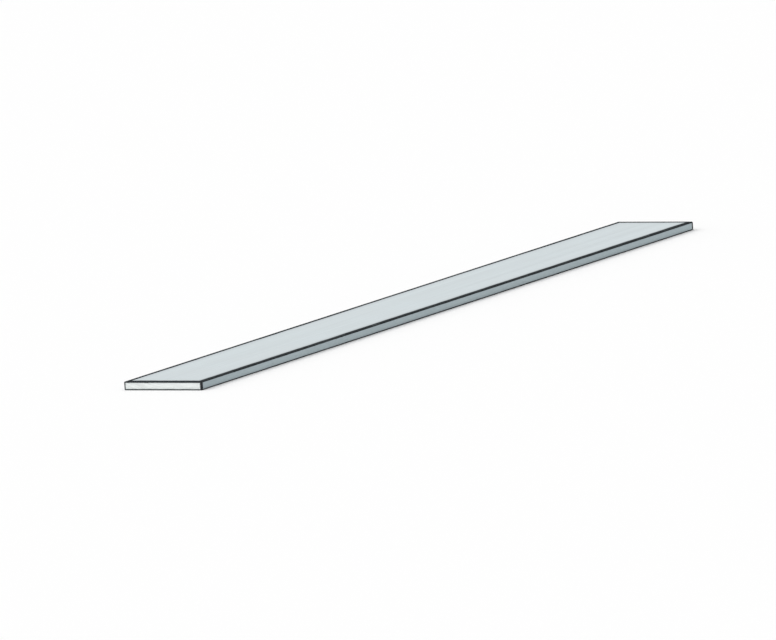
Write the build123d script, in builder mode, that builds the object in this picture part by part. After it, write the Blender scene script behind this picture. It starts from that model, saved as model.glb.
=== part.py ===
from build123d import *
import os

# Flat bar: one straight length of bright steel flat stock.
#
# It is a single piece. The section is a low rectangle whose four long corners,
# the arrises, are slightly rounded, and it is the same from end to end. Both
# ends are sawn square, and the sharp edge that the saw leaves is filed off all
# round as a small chamfer.
#
# Sizes are in millimetres. +X runs across the width, +Y along the length and
# +Z up through the thickness. The origin is under the middle of the bar, on
# the wide face that it lies on.

bar_width = 80.0
bar_thickness = 8.0
bar_length = 1000.0
arris_radius = 0.8
end_chamfer = 0.4

with BuildPart() as flat_bar:
    # The section stands on the origin, and grows the same way towards each end.
    with BuildSketch(Plane.XZ) as section:
        Rectangle(bar_width, bar_thickness, align=(Align.CENTER, Align.MIN))
        fillet(section.vertices(), radius=arris_radius)
    extrude(amount=bar_length / 2, both=True)

    sawn_ends = flat_bar.faces().filter_by(Axis.Y)
    chamfer(sawn_ends.edges(), length=end_chamfer)

flat_bar.part.label = "flat_bar"

os.makedirs("parts", exist_ok=True)
export_step(flat_bar.part, "parts/flat_bar.step")
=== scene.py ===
import math

import bmesh
import bpy
from bpy.props import FloatProperty, FloatVectorProperty, IntProperty, PointerProperty
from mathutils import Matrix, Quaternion, Vector


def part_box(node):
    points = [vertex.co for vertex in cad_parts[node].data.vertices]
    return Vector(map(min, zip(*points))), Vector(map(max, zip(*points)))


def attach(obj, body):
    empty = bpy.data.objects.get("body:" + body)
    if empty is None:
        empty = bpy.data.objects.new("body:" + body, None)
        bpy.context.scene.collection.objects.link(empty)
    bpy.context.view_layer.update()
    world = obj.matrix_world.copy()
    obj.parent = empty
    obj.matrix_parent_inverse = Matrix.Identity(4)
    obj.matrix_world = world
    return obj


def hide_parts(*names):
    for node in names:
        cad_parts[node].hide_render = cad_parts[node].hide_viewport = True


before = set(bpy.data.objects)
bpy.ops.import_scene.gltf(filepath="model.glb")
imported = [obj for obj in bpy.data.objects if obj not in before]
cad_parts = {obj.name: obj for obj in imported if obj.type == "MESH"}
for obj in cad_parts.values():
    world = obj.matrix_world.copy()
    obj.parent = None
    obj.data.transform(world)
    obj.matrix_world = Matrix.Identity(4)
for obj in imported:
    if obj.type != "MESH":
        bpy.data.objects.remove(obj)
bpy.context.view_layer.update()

bl_info = {
    "name": "Bright steel flat bar",
    "version": (1, 0, 0),
    "blender": (4, 5, 0),
    "location": "3D View > Sidebar > Flat bar",
    "description": "Models a length of bright steel flat bar, and the studio that it lies in",
    "category": "Add Mesh",
}

# The bar is one straight length of steel. +X runs across its width, +Y along its
# length and +Z up through its thickness, and its near end is the one at -Y. It
# lies on the floor at Z = 0, on one of its two wide faces.
#
# Lengths are in metres, as everywhere in Blender. Materials count in millimetres,
# which their first node works out from the piece's own coordinates.

MM = 0.001
MM_PER_METRE = 1000.0

BAR_LOW, BAR_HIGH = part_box("flat_bar")
BAR_SIZE = BAR_HIGH - BAR_LOW

# The length at each end of the bar that its map shows at a larger scale.
END_STRIP = 12 * MM

# The depth of the marks that are too fine to model.
FINE_RELIEF = 0.02 * MM

# The side that most of the sky's light comes from, the side that a dark screen stands
# on, and the side of the lamp.
BRIGHT_SIDE = Vector((-0.50, 0.10, 0.86)).normalized()
SHADED_SIDE = Vector((0.75, 0.65, 0.10)).normalized()
KEY_SIDE = Vector((-0.55, -0.50, 0.67)).normalized()


# ---------------------------------------------------------------- what a user may change


class BarSizes(bpy.types.PropertyGroup):
    """The sizes of the bar and of the marks that its making leaves on it."""

    width: FloatProperty(
        name="Width", description="Across the bar, from one long edge to the other",
        default=BAR_SIZE.x, min=10 * MM, unit="LENGTH",
    )
    length: FloatProperty(
        name="Length", description="Along the bar, from one sawn end to the other",
        default=BAR_SIZE.y, min=50 * MM, unit="LENGTH",
    )
    thickness: FloatProperty(
        name="Thickness", description="Between the two wide faces",
        default=BAR_SIZE.z, min=3 * MM, unit="LENGTH",
    )
    arris_radius: FloatProperty(
        name="Arris radius", description="Rounding of the four long corners",
        default=0.8 * MM, min=0.1 * MM, unit="LENGTH",
    )
    arris_steps: IntProperty(
        name="Arris steps", description="Flats that make up each rounded corner",
        default=6, min=2, max=16,
    )
    end_chamfer: FloatProperty(
        name="End chamfer", description="What the file takes off round each sawn end",
        default=0.4 * MM, min=0.1 * MM, unit="LENGTH",
    )
    saw_mark_pitch: FloatProperty(
        name="Saw mark pitch", description="From one mark of the saw blade to the next",
        default=0.9 * MM, min=0.2 * MM, unit="LENGTH",
    )
    saw_mark_depth: FloatProperty(
        name="Saw mark depth", description="How deep the saw marks are",
        default=0.05 * MM, min=0.0, unit="LENGTH",
    )
    blade_radius: FloatProperty(
        name="Blade radius", description="Radius of the saw blade, which curves its marks",
        default=150 * MM, min=20 * MM, unit="LENGTH",
    )
    near_blade: FloatProperty(
        name="Near blade", description="How far to the right the blade stood at the near end",
        default=22 * MM, unit="LENGTH",
    )
    far_blade: FloatProperty(
        name="Far blade", description="How far to the right the blade stood at the far end",
        default=-35 * MM, unit="LENGTH",
    )


class BarFinish(bpy.types.PropertyGroup):
    """The colours and the dullness of the bar's surfaces, and how far its scale reaches."""

    wide_face: FloatVectorProperty(
        name="Wide faces", description="Colour of the two wide faces",
        default=(0.622, 0.695, 0.720), subtype="COLOR", min=0.0, max=1.0,
    )
    # Darker than the wide faces as painted shade of the side away from the light, laid on both
    # long edges.
    long_edge_painted_shade: FloatVectorProperty(
        name="Long edges", description="Colour of the two narrow faces along the bar",
        default=(0.406, 0.482, 0.508), subtype="COLOR", min=0.0, max=1.0,
    )
    # Lighter than the wide faces, partly as fresh metal and partly as painted light of an end that
    # faces the light, laid on both ends.
    sawn_end_and_painted_light: FloatVectorProperty(
        name="Sawn ends", description="Colour of the fresh metal at the sawn ends",
        default=(0.802, 0.836, 0.826), subtype="COLOR", min=0.0, max=1.0,
    )
    scale_dark: FloatVectorProperty(
        name="Scale", description="Colour of the black scale that stays along every corner",
        default=(0.011, 0.013, 0.015), subtype="COLOR", min=0.0, max=1.0,
    )
    scale_worn: FloatVectorProperty(
        name="Worn scale", description="Colour of the scale where it is thin",
        default=(0.062, 0.069, 0.073), subtype="COLOR", min=0.0, max=1.0,
    )
    tint: FloatVectorProperty(
        name="Tint", description="Colour that the steel turns towards beside the scale",
        default=(0.300, 0.345, 0.370), subtype="COLOR", min=0.0, max=1.0,
    )
    scale_on_wide: FloatProperty(
        name="Scale on wide faces",
        description="How far the scale reaches from a long edge over a wide face",
        default=5.4 * MM, min=0.0, unit="LENGTH",
    )
    scale_at_ends: FloatProperty(
        name="Scale at the ends",
        description="How far the scale reaches from an end over a wide face",
        default=7.0 * MM, min=0.0, unit="LENGTH",
    )
    scale_on_narrow: FloatProperty(
        name="Scale on narrow faces",
        description="How far the scale reaches from a corner over a long edge or an end",
        default=1.15 * MM, min=0.0, unit="LENGTH",
    )
    roughness: FloatProperty(
        name="Roughness", description="Dullness of the faces along the bar",
        default=0.38, subtype="FACTOR", min=0.0, max=1.0,
    )


class StudioSettings(bpy.types.PropertyGroup):
    """The floor, the light and the camera."""

    floor_colour: FloatVectorProperty(
        name="Floor", description="Colour of the floor",
        default=(0.98, 0.98, 0.98), subtype="COLOR", min=0.0, max=1.0,
    )
    sky_middle: FloatProperty(
        name="Light level", description="Strength of the light from all round",
        default=0.87, min=0.0,
    )
    sky_swing: FloatProperty(
        name="Light swing", description="How much brighter it is on the side of the light",
        default=0.15, min=0.0,
    )
    shade_depth: FloatProperty(
        name="Shade depth", description="How much darker the shaded side is",
        default=0.62, min=0.0,
    )
    key_strength: FloatProperty(
        name="Key strength", description="Strength of the soft lamp",
        default=0.75, min=0.0,
    )
    key_softness: FloatProperty(
        name="Key softness", description="How wide the soft lamp looks from the bar",
        default=math.radians(35), subtype="ANGLE",
    )
    camera_azimuth: FloatProperty(
        name="Azimuth", description="How far the camera stands round to the right",
        default=math.radians(28.01), subtype="ANGLE",
    )
    camera_elevation: FloatProperty(
        name="Elevation", description="How far the camera stands above the bar",
        default=math.radians(7.63), subtype="ANGLE",
    )
    camera_roll: FloatProperty(
        name="Roll", description="How far the camera is tipped to its right",
        default=math.radians(4.03), subtype="ANGLE",
    )
    camera_distance: FloatProperty(
        name="Distance", description="From the camera to the middle of the bar",
        default=20.086, unit="LENGTH",
    )
    camera_lens: FloatProperty(
        name="Lens", description="Focal length of the camera, in millimetres",
        default=1000.0,
    )


# ---------------------------------------------------------------- modelling the bar


def pick(piece, kind, test):
    """Selects the faces or edges of the piece in edit mode that pass a test, and no others."""
    bpy.ops.mesh.select_mode(type=kind)
    bpy.ops.mesh.select_all(action="DESELECT")
    shape = bmesh.from_edit_mesh(piece.data)
    for part in shape.edges if kind == "EDGE" else shape.faces:
        part.select_set(test(part))
    bmesh.update_edit_mesh(piece.data)


def runs_along(edge, axis):
    """True for an edge that is parallel to an axis."""
    run = edge.verts[1].co - edge.verts[0].co
    return abs(run[axis]) > 0.999 * run.length


def faces_along(face, axis):
    """True for a face that looks straight along an axis, either way."""
    return abs(face.normal[axis]) > 0.999


def add_blank(sizes):
    """Adds the plain block that the bar is worked from. It is short of the bar by its two
    end chamfers, because they are pulled out of its ends."""
    bpy.ops.object.select_all(action="DESELECT")
    blank_length = sizes.length - 2 * sizes.end_chamfer
    bpy.ops.mesh.primitive_cube_add(
        size=1.0,
        location=(0, 0, sizes.thickness / 2),
        scale=(sizes.width, blank_length, sizes.thickness),
    )
    piece = bpy.context.object
    piece.name = "steel_flat_bar"
    piece.data.name = "steel_flat_bar"
    bpy.ops.object.transform_apply(location=True, rotation=True, scale=True)
    return piece


def round_arrises(piece, sizes):
    """Rounds the four long corners."""
    pick(piece, "EDGE", lambda edge: runs_along(edge, axis=1))
    bpy.ops.mesh.bevel(
        offset=sizes.arris_radius, segments=sizes.arris_steps, profile=0.5, affect="EDGES"
    )


def chamfer_ends(piece, sizes):
    """Pulls each end out to its full length, with a chamfer all round."""
    pick(piece, "FACE", lambda face: faces_along(face, axis=1))
    bpy.ops.mesh.inset(thickness=sizes.end_chamfer, depth=sizes.end_chamfer)


def blade_place(sizes, end):
    """Where the middle of the blade stood at one end, across the bar and above the floor.
    The end is -1 for the near one and 1 for the far one."""
    across = sizes.near_blade if end < 0 else sizes.far_blade
    return across, math.sqrt(sizes.blade_radius**2 - across**2)


def saw_ends(piece, sizes):
    """Cuts the curved marks of a saw blade into both end faces, inside a plain border that
    is a little wider than the rounded corners."""
    slack = 0.01 * MM
    border_per_radius = 1.25
    border = border_per_radius * sizes.arris_radius
    side = sizes.width / 2 - border
    top = sizes.thickness - border
    cuts = [
        ((side, 0, 0), (1, 0, 0)),
        ((-side, 0, 0), (1, 0, 0)),
        ((0, 0, border), (0, 0, 1)),
        ((0, 0, top), (0, 0, 1)),
    ]
    for place, direction in cuts:
        pick(piece, "FACE", lambda face: faces_along(face, axis=1))
        bpy.ops.mesh.bisect(plane_co=place, plane_no=direction, threshold=slack)

    def in_field(edge):
        middle = (edge.verts[0].co + edge.verts[1].co) / 2
        on_end = abs(middle.y) > sizes.length / 2 - slack
        in_width = abs(middle.x) < side + slack
        return on_end and in_width and border - slack < middle.z < top + slack

    # Subdivide makes at most 100 cuts at a time, so the columns are cut in two halves.
    steps_per_mark = 8
    columns_per_row = 3
    rows = round((top - border) / sizes.saw_mark_pitch * steps_per_mark)
    half_columns = round(columns_per_row / 2 * rows)
    for axis, steps in ((0, 2), (0, half_columns), (2, rows)):
        pick(piece, "EDGE", lambda edge: in_field(edge) and runs_along(edge, axis))
        bpy.ops.mesh.subdivide(number_cuts=steps - 1)

    bpy.ops.object.mode_set(mode="OBJECT")
    for end in (-1, 1):
        end_y = end * sizes.length / 2
        inside = [
            v.index
            for v in piece.data.vertices
            if abs(v.co.y - end_y) < slack
            and abs(v.co.x) < side - slack
            and border + slack < v.co.z < top - slack
        ]
        cut_saw_marks(piece, sizes, end, inside)
    bpy.ops.object.mode_set(mode="EDIT")

    # The faces round the field have many points in one line, and are split with care so
    # that no triangle joins three of them.
    pick(piece, "FACE", lambda face: faces_along(face, axis=1) and len(face.verts) > 4)
    bpy.ops.mesh.quads_convert_to_tris(quad_method="BEAUTY", ngon_method="BEAUTY")


def cut_saw_marks(piece, sizes, end, inside):
    """Sinks rings round the middle of the blade into the points inside one end face."""
    name = "near_end" if end < 0 else "far_end"
    field = piece.vertex_groups.new(name=name)
    field.add(inside, 1.0, "REPLACE")

    rings = bpy.data.textures.new(name + "_rings", "WOOD")
    rings.wood_type = "RINGNOISE"
    rings.turbulence = 2.0
    rings.noise_scale = 3.0
    across, height = blade_place(sizes, end)
    bpy.ops.object.empty_add(location=(across, end * sizes.length / 2, height))
    blade = bpy.context.object
    # The texture repeats its rings 20 times over a length of 2 pi.
    repeats = 20
    blade.scale = (sizes.saw_mark_pitch * repeats / math.tau,) * 3

    bpy.context.view_layer.objects.active = piece
    marks = piece.modifiers.new(name, "DISPLACE")
    marks.texture = rings
    marks.texture_coords = "OBJECT"
    marks.texture_coords_object = blade
    marks.vertex_group = name
    marks.direction = "NORMAL"
    marks.mid_level = 1.0
    marks.strength = sizes.saw_mark_depth
    bpy.context.view_layer.update()
    bpy.ops.object.modifier_apply(modifier=name)

    piece.vertex_groups.remove(piece.vertex_groups[name])
    bpy.data.objects.remove(blade)
    bpy.data.textures.remove(rings)


def ring_ends(piece, sizes):
    """Cuts a ring round the bar near each end, where its map changes scale."""
    for end in (-1, 1):
        pick(piece, "FACE", lambda face: abs(face.normal.y) < 0.5)
        bpy.ops.mesh.bisect(
            plane_co=(0, end * (sizes.length / 2 - END_STRIP), 0), plane_no=(0, 1, 0)
        )


def smooth_bar(piece):
    """Shades the rounded corners smooth and keeps the flats flat."""
    bpy.ops.object.shade_smooth_by_angle(angle=math.radians(30))
    flats = piece.modifiers.new("flats", "WEIGHTED_NORMAL")
    flats.keep_sharp = True
    bpy.ops.object.modifier_apply(modifier=flats.name)


# ---------------------------------------------------------------- a map for the bar's surface


def lay_out_map(piece, sizes):
    """Lays the bar's surface out flat. The skin of the four long sides is one strip, wide
    enough across to hold the fine lines that run along it, and the ends lie above it. The
    skin near an end takes more of the strip's length than its size, for the scale there."""
    margin = 0.005
    strip_top = 0.90
    end_share = 0.055
    end_width = 0.42
    end_foot = strip_top + 0.03
    near_end_left, far_end_left = 0.03, 0.53
    end_scale = end_width / sizes.width
    half_width, half_length = sizes.width / 2, sizes.length / 2
    girth = 2 * (sizes.width + sizes.thickness)

    def round_the_section(place, normal):
        """How far a point is round the section, from the lower left corner."""
        if abs(normal.z) >= abs(normal.x):
            if normal.z < 0:
                return half_width + place.x
            return sizes.width + sizes.thickness + half_width - place.x
        if normal.x > 0:
            return sizes.width + place.z
        return 2 * sizes.width + 2 * sizes.thickness - place.z

    def along_the_strip(place):
        """How far a point is along the strip, from 0 at the near end to 1 at the far one."""
        from_end = half_length - abs(place.y)
        if from_end < END_STRIP:
            share = end_share * from_end / END_STRIP
        else:
            beyond = (from_end - END_STRIP) / (half_length - END_STRIP)
            share = end_share + (0.5 - end_share) * beyond
        return share if place.y < 0 else 1 - share

    layer = piece.data.uv_layers.new(name="OFBake")
    for face in piece.data.polygons:
        for corner in face.loop_indices:
            place = piece.data.vertices[piece.data.loops[corner].vertex_index].co
            if abs(face.normal.y) > 0.5:
                left = near_end_left if face.normal.y < 0 else far_end_left
                u = left + (place.x + half_width) * end_scale
                v = end_foot + place.z * end_scale
            else:
                u = margin + (1 - 2 * margin) * along_the_strip(place)
                round_share = round_the_section(place, face.normal) / girth
                v = margin + (strip_top - 2 * margin) * round_share
            layer.uv[corner].vector = (u, v)


# ---------------------------------------------------------------- node helpers


def add_node(tree, kind, links=None, **settings):
    """Adds a node. links gives its inputs by name or number: a socket is linked, and
    anything else is set."""
    node = tree.nodes.new(kind)
    for name, value in settings.items():
        setattr(node, name, value)
    for name, value in (links or {}).items():
        if isinstance(value, bpy.types.NodeSocket):
            tree.links.new(value, node.inputs[name])
        else:
            node.inputs[name].default_value = value
    return node


def maths(tree, operation, *values):
    """Works out a sum of one to three values."""
    node = add_node(tree, "ShaderNodeMath", dict(enumerate(values)), operation=operation)
    return node.outputs["Value"]


def remap(tree, value, from_low, from_high, to_low=0.0, to_high=1.0, smooth=False):
    """Carries a value from one range to another, and holds it at the ends."""
    node = add_node(
        tree,
        "ShaderNodeMapRange",
        {
            "Value": value,
            "From Min": from_low,
            "From Max": from_high,
            "To Min": to_low,
            "To Max": to_high,
        },
        interpolation_type="SMOOTHSTEP" if smooth else "LINEAR",
    )
    return node.outputs["Result"]


def swing(tree, mask, middle, reach):
    """Turns a mask into a value that goes as far below a middle one as above it."""
    return remap(tree, mask, 0, 1, middle - reach, middle + reach)


def blend_colours(tree, share, first, second, blend_type="MIX"):
    """Mixes two colours. share says how much of the second is taken."""
    node = add_node(tree, "ShaderNodeMix", data_type="RGBA", blend_type=blend_type)
    for name, value in (("Factor_Float", share), ("A_Color", first), ("B_Color", second)):
        socket = next(s for s in node.inputs if s.identifier == name)
        if isinstance(value, bpy.types.NodeSocket):
            tree.links.new(value, socket)
        else:
            socket.default_value = value
    return next(s for s in node.outputs if s.identifier == "Result_Color")


def start_group(name, inputs, outputs):
    """Starts a node group. inputs and outputs give each socket's kind by its name."""
    tree = bpy.data.node_groups.new(name, "ShaderNodeTree")
    for label, kind in inputs.items():
        tree.interface.new_socket(label, in_out="INPUT", socket_type="NodeSocket" + kind)
    for label, kind in outputs.items():
        tree.interface.new_socket(label, in_out="OUTPUT", socket_type="NodeSocket" + kind)
    return tree, tree.nodes.new("NodeGroupInput").outputs, tree.nodes.new("NodeGroupOutput").inputs


def place_group(tree, group, **values):
    """Places a node group in a material, with its own values. An underscore in a name
    stands for a space."""
    named = {name.replace("_", " ").capitalize(): value for name, value in values.items()}
    return add_node(tree, "ShaderNodeGroup", named, node_tree=group)


# ---------------------------------------------------------------- effects that materials share


def make_corner_scale():
    """Masks for the black scale along every corner of a long block: the scale itself, and
    the tint that fades out beside it."""
    # All four are shares of the reach. The scale is whole up to the first and gone past the
    # second, and the tint is full up to the third and gone past the fourth.
    scale_whole, scale_gone = 0.80, 1.12
    tint_full, tint_gone = 0.7, 2.3
    tree, given, result = start_group(
        "Corner scale",
        {
            "Place": "Vector",
            "Half width": "Float",
            "Half length": "Float",
            "Thickness": "Float",
            "Reach across": "Float",
            "Reach along": "Float",
            "Reach through": "Float",
            "Wander": "Float",
        },
        {"Scale": "Float", "Tint": "Float"},
    )
    place = add_node(tree, "ShaderNodeSeparateXYZ", {"Vector": given["Place"]}).outputs
    across = maths(tree, "SUBTRACT", given["Half width"], maths(tree, "ABSOLUTE", place["X"]))
    along = maths(tree, "SUBTRACT", given["Half length"], maths(tree, "ABSOLUTE", place["Y"]))
    half_thick = maths(tree, "MULTIPLY", given["Thickness"], 0.5)
    from_middle = maths(tree, "ABSOLUTE", maths(tree, "SUBTRACT", place["Z"], half_thick))
    through = maths(tree, "SUBTRACT", half_thick, from_middle)
    across = maths(tree, "DIVIDE", across, given["Reach across"])
    along = maths(tree, "DIVIDE", along, given["Reach along"])
    through = maths(tree, "DIVIDE", through, given["Reach through"])
    # A point of the surface is no distance at all from its own face, so the middle one of
    # the three is how far it is from the nearest corner, as a share of the reach.
    smaller = maths(tree, "MINIMUM", across, along)
    larger = maths(tree, "MAXIMUM", across, along)
    share = maths(tree, "MAXIMUM", smaller, maths(tree, "MINIMUM", larger, through))
    ragged = maths(tree, "MULTIPLY", share, swing(tree, given["Wander"], 1.0, 0.20))
    scale = remap(tree, ragged, scale_whole, scale_gone, 1.0, 0.0, smooth=True)
    tint = remap(tree, share, tint_full, tint_gone, 1.0, 0.0, smooth=True)
    tree.links.new(scale, result["Scale"])
    tree.links.new(tint, result["Tint"])
    return tree


def make_streaks():
    """Fine lines and broader streaks that run along the bar, as a grinding belt leaves them."""
    noise_low, noise_high = 0.25, 0.75
    tree, given, result = start_group(
        "Belt streaks",
        {"Place": "Vector", "Width": "Float", "Run": "Float", "Detail": "Float"},
        {"Streaks": "Float"},
    )
    shrink = add_node(
        tree,
        "ShaderNodeCombineXYZ",
        {"X": given["Width"], "Y": given["Run"], "Z": given["Width"]},
    ).outputs[0]
    stretched = add_node(
        tree, "ShaderNodeVectorMath", {0: given["Place"], 1: shrink}, operation="DIVIDE"
    ).outputs["Vector"]
    noise = add_node(
        tree,
        "ShaderNodeTexNoise",
        {"Vector": stretched, "Scale": 1.0, "Detail": given["Detail"], "Roughness": 0.6},
    ).outputs["Fac"]
    tree.links.new(remap(tree, noise, noise_low, noise_high), result["Streaks"])
    return tree


def make_clouds():
    """Soft patches, as handling and oil leave them."""
    noise_low, noise_high = 0.28, 0.72
    tree, given, result = start_group(
        "Clouds", {"Place": "Vector", "Size": "Float"}, {"Clouds": "Float"}
    )
    shrunk = add_node(
        tree,
        "ShaderNodeVectorMath",
        {0: given["Place"], "Scale": maths(tree, "DIVIDE", 1.0, given["Size"])},
        operation="SCALE",
    ).outputs["Vector"]
    noise = add_node(
        tree,
        "ShaderNodeTexNoise",
        {"Vector": shrunk, "Scale": 1.0, "Detail": 3.0, "Roughness": 0.55},
    ).outputs["Fac"]
    tree.links.new(remap(tree, noise, noise_low, noise_high), result["Clouds"])
    return tree


# ---------------------------------------------------------------- the bar's two finishes


def start_material(name):
    """Starts a steel, and gives it with its tree, its shader and the piece's own
    coordinates in millimetres."""
    material = bpy.data.materials.new(name)
    material.use_nodes = True
    tree = material.node_tree
    tree.nodes.clear()
    shader = tree.nodes.new("ShaderNodeBsdfPrincipled")
    output = tree.nodes.new("ShaderNodeOutputMaterial")
    tree.links.new(shader.outputs["BSDF"], output.inputs["Surface"])
    own = tree.nodes.new("ShaderNodeTexCoord").outputs["Object"]
    place = add_node(
        tree, "ShaderNodeVectorMath", {0: own, "Scale": MM_PER_METRE}, operation="SCALE"
    ).outputs["Vector"]
    return material, tree, shader, place


def place_streaks(tree, place, groups, width, run, detail=2.0):
    """Places lengthwise streaks. Their width and run are in millimetres."""
    return place_group(
        tree, groups["streaks"], place=place, width=width, run=run, detail=detail
    ).outputs["Streaks"]


def place_clouds(tree, place, groups, size):
    """Places soft patches. Their size is in millimetres."""
    return place_group(tree, groups["clouds"], place=place, size=size).outputs["Clouds"]


def place_scale(tree, place, groups, sizes, marks, reach_across, reach_along, reach_through):
    """Places the scale of the corners, and gives its masks. Its reaches are in millimetres.
    Its border wanders, and the marks of the tool that cleaned the face cut into it."""
    wander = place_streaks(tree, place, groups, width=18.0, run=45.0)
    return place_group(
        tree,
        groups["corner_scale"],
        place=place,
        half_width=sizes.width / 2 / MM,
        half_length=sizes.length / 2 / MM,
        thickness=sizes.thickness / MM,
        reach_across=reach_across,
        reach_along=reach_along,
        reach_through=reach_through,
        wander=maths(tree, "MULTIPLY", maths(tree, "ADD", wander, marks), 0.5),
    ).outputs


def vary_tone(tree, colour, level):
    """Makes a colour lighter or darker by a level that varies round 1."""
    level_colour = add_node(
        tree, "ShaderNodeCombineXYZ", {"X": level, "Y": level, "Z": level}
    ).outputs[0]
    return blend_colours(tree, 1.0, colour, level_colour, blend_type="MULTIPLY")


def lay_scale(tree, shader, place, groups, masks, finish, steel, dull, scratches):
    """Lays the scale over a steel. The scale is a dull, mottled oxide and no metal, and
    scratches wear it a little. Gives how much scale is left, and its mottling."""
    tint_share = 0.35
    left_under_scratches = 0.85
    metal_until = 0.5
    added_roughness = 0.25
    tinted = maths(tree, "MULTIPLY", masks["Tint"], tint_share)
    steel = blend_colours(tree, tinted, steel, (*finish.tint, 1))
    spots = place_clouds(tree, place, groups, size=4.5)
    drags = place_streaks(tree, place, groups, width=0.8, run=26.0)
    mottle = maths(tree, "MULTIPLY", maths(tree, "ADD", spots, drags), 0.5)
    scale = blend_colours(tree, mottle, (*finish.scale_dark, 1), (*finish.scale_worn, 1))
    wear = remap(tree, scratches, 0, 1, 1.0, left_under_scratches)
    left = maths(tree, "MULTIPLY", masks["Scale"], wear)
    colour = blend_colours(tree, left, steel, scale)
    # Thin scale darkens the metal first, so that no pale, half metallic border shows.
    metallic = remap(tree, left, metal_until, 1.0, 1.0, 0.0)
    roughness = maths(tree, "MULTIPLY_ADD", left, added_roughness, dull)
    tree.links.new(colour, shader.inputs["Base Color"])
    tree.links.new(metallic, shader.inputs["Metallic"])
    tree.links.new(roughness, shader.inputs["Roughness"])
    shader.inputs["Specular IOR Level"].default_value = 0.0
    return left, mottle


def add_bump(tree, shader, height):
    """Adds relief that is too fine to model."""
    bump = add_node(
        tree, "ShaderNodeBump", {"Height": height, "Strength": 1.0, "Distance": FINE_RELIEF}
    )
    tree.links.new(bump.outputs["Normal"], shader.inputs["Normal"])


def make_ground_skin(groups, sizes, finish):
    """The long faces: bright steel with lengthwise lines, soft patches, stray scratches and
    scale along the corners."""
    lighter_in_scratches, duller_in_scratches = 0.06, -0.08
    hairline_height, scale_height, scratch_height = 0.35, 0.8, -0.5
    material, tree, shader, place = start_material("ground_steel_skin")
    position = add_node(tree, "ShaderNodeSeparateXYZ", {"Vector": place}).outputs

    # The long edges' darker colour, which is painted shade, comes in over the rounded corners.
    half_width = sizes.width / 2 / MM
    radius = sizes.arris_radius / MM
    on_edge = remap(
        tree,
        maths(tree, "ABSOLUTE", position["X"]),
        half_width - radius,
        half_width - radius / 10,
        smooth=True,
    )
    steel = blend_colours(tree, on_edge, (*finish.wide_face, 1), (*finish.long_edge_painted_shade, 1))

    hairlines = place_streaks(tree, place, groups, width=0.5, run=70.0, detail=1.0)
    lines = place_streaks(tree, place, groups, width=1.6, run=260.0)
    streaks = place_streaks(tree, place, groups, width=9.0, run=600.0)
    patches = place_clouds(tree, place, groups, size=60.0)
    # Stray scratches run a little askew of the bar, and are gathered where it was handled.
    askew = add_node(
        tree,
        "ShaderNodeMapping",
        {"Vector": place, "Rotation": (0, 0, math.radians(7))},
        vector_type="POINT",
    ).outputs["Vector"]
    stray = place_streaks(tree, askew, groups, width=0.6, run=46.0, detail=0.0)
    handled = remap(tree, patches, 0.50, 0.66, smooth=True)
    scratches = maths(tree, "MULTIPLY", remap(tree, stray, 0.94, 1.0), handled)

    # Each kind of mark makes the steel a few hundredths lighter or darker.
    level = swing(tree, hairlines, 1.0, 0.035)
    for marks, reach in ((lines, 0.040), (streaks, 0.040), (patches, 0.030)):
        level = maths(tree, "ADD", level, swing(tree, marks, 0.0, reach))
    level = maths(tree, "MULTIPLY_ADD", scratches, lighter_in_scratches, level)
    steel = vary_tone(tree, steel, level)

    dull = swing(tree, hairlines, finish.roughness, 0.04)
    dull = maths(tree, "ADD", dull, swing(tree, patches, 0.0, 0.04))
    dull = maths(tree, "MULTIPLY_ADD", scratches, duller_in_scratches, dull)

    # The lines cut into the border of the scale. On a long edge, the scale reaches further
    # from the bar's end than from its long corners.
    broad_cuts = maths(tree, "MULTIPLY", lines, 0.7)
    cuts = maths(tree, "MULTIPLY_ADD", hairlines, 0.3, broad_cuts)
    at_ends, on_narrow = finish.scale_at_ends / MM, finish.scale_on_narrow / MM
    at_edge_ends = 2.5 * on_narrow
    masks = place_scale(
        tree,
        place,
        groups,
        sizes,
        marks=cuts,
        reach_across=finish.scale_on_wide / MM,
        reach_along=remap(tree, on_edge, 0, 1, at_ends, at_edge_ends),
        reach_through=on_narrow,
    )
    worn = maths(tree, "MAXIMUM", scratches, remap(tree, hairlines, 0.82, 1.0))
    scale, mottle = lay_scale(
        tree, shader, place, groups, masks, finish, steel, dull, worn
    )

    # Lines and scale stand up, and scratches go in.
    mottled_scale = maths(tree, "MULTIPLY", scale, mottle)
    height = maths(tree, "MULTIPLY_ADD", hairlines, hairline_height, lines)
    height = maths(tree, "MULTIPLY_ADD", mottled_scale, scale_height, height)
    height = maths(tree, "MULTIPLY_ADD", scratches, scratch_height, height)
    add_bump(tree, shader, height)
    return material


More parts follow.
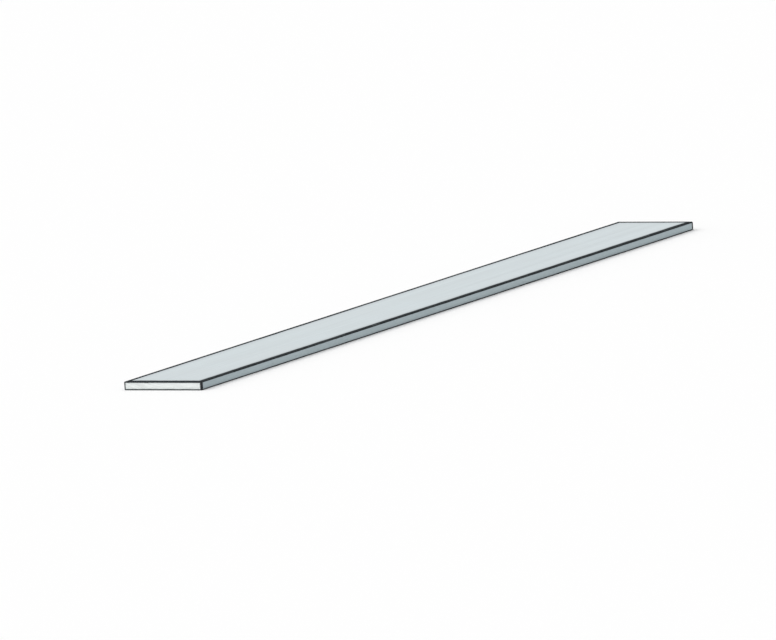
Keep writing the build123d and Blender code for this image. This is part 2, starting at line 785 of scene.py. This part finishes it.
def make_sawn_end(groups, sizes, finish):
    """The ends: fresh metal crossed by the curved scratches of the blade, with scale along
    the corners. Their colour is lighter than the wide faces' partly as fresh metal and partly as
    painted light."""
    noise_low, noise_high = 0.3, 0.7
    change_along_a_scratch = 0.04
    change_between_ends = 0.02
    material, tree, shader, place = start_material("sawn_steel_end")
    position = add_node(tree, "ShaderNodeSeparateXYZ", {"Vector": place}).outputs

    at_far_end = maths(tree, "GREATER_THAN", position["Y"], 0.0)
    near_x, near_z = (value / MM for value in blade_place(sizes, -1))
    far_x, far_z = (value / MM for value in blade_place(sizes, 1))
    blade_x = remap(tree, at_far_end, 0, 1, near_x, far_x)
    blade_z = remap(tree, at_far_end, 0, 1, near_z, far_z)
    from_x = maths(tree, "SUBTRACT", position["X"], blade_x)
    from_z = maths(tree, "SUBTRACT", position["Z"], blade_z)
    squares = maths(tree, "MULTIPLY", from_x, from_x)
    squares = maths(tree, "MULTIPLY_ADD", from_z, from_z, squares)
    from_blade = add_node(
        tree,
        "ShaderNodeCombineXYZ",
        {
            "X": maths(tree, "SQRT", squares),
            "Y": maths(tree, "MULTIPLY", position["X"], change_along_a_scratch),
            "Z": maths(tree, "MULTIPLY", position["Y"], change_between_ends),
        },
    ).outputs[0]
    fine = add_node(
        tree, "ShaderNodeTexNoise", {"Vector": from_blade, "Scale": 2.2, "Detail": 2.0}
    ).outputs["Fac"]
    broad = add_node(
        tree, "ShaderNodeTexNoise", {"Vector": from_blade, "Scale": 0.6, "Detail": 1.0}
    ).outputs["Fac"]
    fine_marks = remap(tree, fine, noise_low, noise_high)
    broad_marks = remap(tree, broad, noise_low, noise_high)

    level = swing(tree, fine_marks, 1.0, 0.10)
    level = maths(tree, "ADD", level, swing(tree, broad_marks, 0.0, 0.07))
    steel = vary_tone(tree, (*finish.sawn_end_and_painted_light, 1), level)
    on_narrow = finish.scale_on_narrow / MM
    masks = place_scale(
        tree,
        place,
        groups,
        sizes,
        marks=fine_marks,
        reach_across=1.25 * on_narrow,
        reach_along=on_narrow,
        reach_through=on_narrow,
    )
    dull = swing(tree, fine_marks, 0.42, 0.06)
    deepest = remap(tree, fine, 0.66, 0.80)
    lay_scale(tree, shader, place, groups, masks, finish, steel, dull, deepest)
    add_bump(tree, shader, fine)
    return material


def dress_bar(piece, skin, sawn):
    """Gives the ends and their chamfers the sawn finish, and all else the ground one."""
    for material in (skin, sawn):
        piece.data.materials.append(material)
    bpy.ops.object.mode_set(mode="EDIT")
    pick(piece, "FACE", lambda face: abs(face.normal.y) > 0.5)
    piece.active_material_index = 1
    bpy.ops.object.material_slot_assign()
    bpy.ops.object.mode_set(mode="OBJECT")


# ---------------------------------------------------------------- the studio


def make_floor(studio):
    """A wide matt floor under the bar."""
    floor_size = 90.0
    gap_under_bar = 0.05 * MM
    bpy.ops.object.select_all(action="DESELECT")
    bpy.ops.mesh.primitive_plane_add(size=floor_size, location=(0, 0, -gap_under_bar))
    floor = bpy.context.object
    floor.name = "studio_floor"
    bpy.ops.object.transform_apply(location=True, rotation=True, scale=True)
    matt = bpy.data.materials.new("matt_floor")
    matt.use_nodes = True
    shader = matt.node_tree.nodes["Principled BSDF"]
    shader.inputs["Base Color"].default_value = (*studio.floor_colour, 1)
    shader.inputs["Roughness"].default_value = 1.0
    shader.inputs["Specular IOR Level"].default_value = 0.0
    floor.data.materials.append(matt)


def make_sky(studio):
    """Soft light from all round. It grows towards the bright side, and a dark screen
    stands on the shaded side."""
    # How straight a direction points to the shaded side, at most 1, where the screen
    # begins and where it is darkest.
    screen_rim, screen_middle = 0.35, 0.90
    world = bpy.data.worlds.new("soft_sky")
    bpy.context.scene.world = world
    world.use_nodes = True
    tree = world.node_tree
    tree.nodes.clear()
    direction = tree.nodes.new("ShaderNodeTexCoord").outputs["Generated"]
    bright, shaded = (
        add_node(
            tree, "ShaderNodeVectorMath", {0: direction, 1: side}, operation="DOT_PRODUCT"
        ).outputs["Value"]
        for side in (BRIGHT_SIDE, SHADED_SIDE)
    )
    level = maths(tree, "MULTIPLY_ADD", bright, studio.sky_swing, studio.sky_middle)
    screen = remap(
        tree, shaded, screen_rim, screen_middle, 0.0, studio.shade_depth, smooth=True
    )
    level = maths(tree, "SUBTRACT", level, screen)
    background = add_node(
        tree, "ShaderNodeBackground", {"Color": (1, 1, 1, 1), "Strength": level}
    )
    output = tree.nodes.new("ShaderNodeOutputWorld")
    tree.links.new(background.outputs["Background"], output.inputs["Surface"])


def add_key_lamp(studio):
    """One large soft lamp on the side of the light."""
    bpy.ops.object.light_add(type="SUN")
    lamp = bpy.context.object
    lamp.name = "key_lamp"
    lamp.data.energy = studio.key_strength
    lamp.data.angle = studio.key_softness
    lamp.rotation_euler = KEY_SIDE.to_track_quat("Z", "Y").to_euler()


def add_camera(studio):
    """A camera far off with a long lens, so that the bar's long edges stay parallel."""
    azimuth, elevation = studio.camera_azimuth, studio.camera_elevation
    backwards = Vector(
        (
            math.sin(azimuth) * math.cos(elevation),
            -math.cos(azimuth) * math.cos(elevation),
            math.sin(elevation),
        )
    )
    upright = (-backwards).to_track_quat("-Z", "Y")
    tipped = upright @ Quaternion((0, 0, 1), -studio.camera_roll)
    to_right = tipped @ Vector((1, 0, 0))
    to_top = tipped @ Vector((0, 1, 0))
    # The camera aims a little to the left of the bar's middle and below it.
    middle = (BAR_LOW + BAR_HIGH) / 2
    shift_right, shift_up = -24.8 * MM, -14.8 * MM
    bpy.ops.object.camera_add()
    camera = bpy.context.object
    camera.name = "long_lens"
    camera.location = (
        middle + backwards * studio.camera_distance + to_right * shift_right + to_top * shift_up
    )
    camera.rotation_euler = tipped.to_euler()
    camera.data.lens = studio.camera_lens
    camera.data.clip_start = 1.0
    camera.data.clip_end = 100.0
    bpy.context.scene.camera = camera


# ---------------------------------------------------------------- operators and panel


class FLATBAR_OT_bar(bpy.types.Operator):
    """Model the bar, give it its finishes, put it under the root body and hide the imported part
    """

    bl_idname = "flatbar.bar"
    bl_label = "Model the bar"
    bl_options = {"REGISTER", "UNDO"}

    def execute(self, context):
        sizes, finish = context.scene.flatbar_sizes, context.scene.flatbar_finish
        piece = add_blank(sizes)
        bpy.ops.object.mode_set(mode="EDIT")
        round_arrises(piece, sizes)
        chamfer_ends(piece, sizes)
        saw_ends(piece, sizes)
        ring_ends(piece, sizes)
        bpy.ops.object.mode_set(mode="OBJECT")
        smooth_bar(piece)
        lay_out_map(piece, sizes)
        groups = {
            "corner_scale": make_corner_scale(),
            "streaks": make_streaks(),
            "clouds": make_clouds(),
        }
        dress_bar(
            piece, make_ground_skin(groups, sizes, finish), make_sawn_end(groups, sizes, finish)
        )
        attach(piece, "root")
        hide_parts("flat_bar")
        return {"FINISHED"}


class FLATBAR_OT_studio(bpy.types.Operator):
    """Lay the floor, and set up the light and the camera"""

    bl_idname = "flatbar.studio"
    bl_label = "Set up the studio"
    bl_options = {"REGISTER", "UNDO"}

    def execute(self, context):
        studio = context.scene.flatbar_studio
        make_floor(studio)
        make_sky(studio)
        add_key_lamp(studio)
        add_camera(studio)
        context.scene.view_settings.view_transform = "Standard"
        return {"FINISHED"}


class FLATBAR_PT_panel(bpy.types.Panel):
    """Lists the bar's sizes and finish, the studio, and the two operators"""

    bl_label = "Flat bar"
    bl_idname = "FLATBAR_PT_panel"
    bl_space_type = "VIEW_3D"
    bl_region_type = "UI"
    bl_category = "Flat bar"

    def draw(self, context):
        scene = context.scene
        for settings, operator in (
            (scene.flatbar_sizes, None),
            (scene.flatbar_finish, FLATBAR_OT_bar),
            (scene.flatbar_studio, FLATBAR_OT_studio),
        ):
            for name in settings.__annotations__:
                self.layout.prop(settings, name)
            if operator is not None:
                self.layout.operator(operator.bl_idname)


CLASSES = (
    BarSizes,
    BarFinish,
    StudioSettings,
    FLATBAR_OT_bar,
    FLATBAR_OT_studio,
    FLATBAR_PT_panel,
)


def register():
    for new_class in CLASSES:
        bpy.utils.register_class(new_class)
    bpy.types.Scene.flatbar_sizes = PointerProperty(type=BarSizes)
    bpy.types.Scene.flatbar_finish = PointerProperty(type=BarFinish)
    bpy.types.Scene.flatbar_studio = PointerProperty(type=StudioSettings)


def unregister():
    del bpy.types.Scene.flatbar_studio
    del bpy.types.Scene.flatbar_finish
    del bpy.types.Scene.flatbar_sizes
    for old_class in reversed(CLASSES):
        bpy.utils.unregister_class(old_class)


def main():
    register()
    bpy.ops.flatbar.studio()
    bpy.ops.flatbar.bar()


if __name__ == "__main__":
    main()
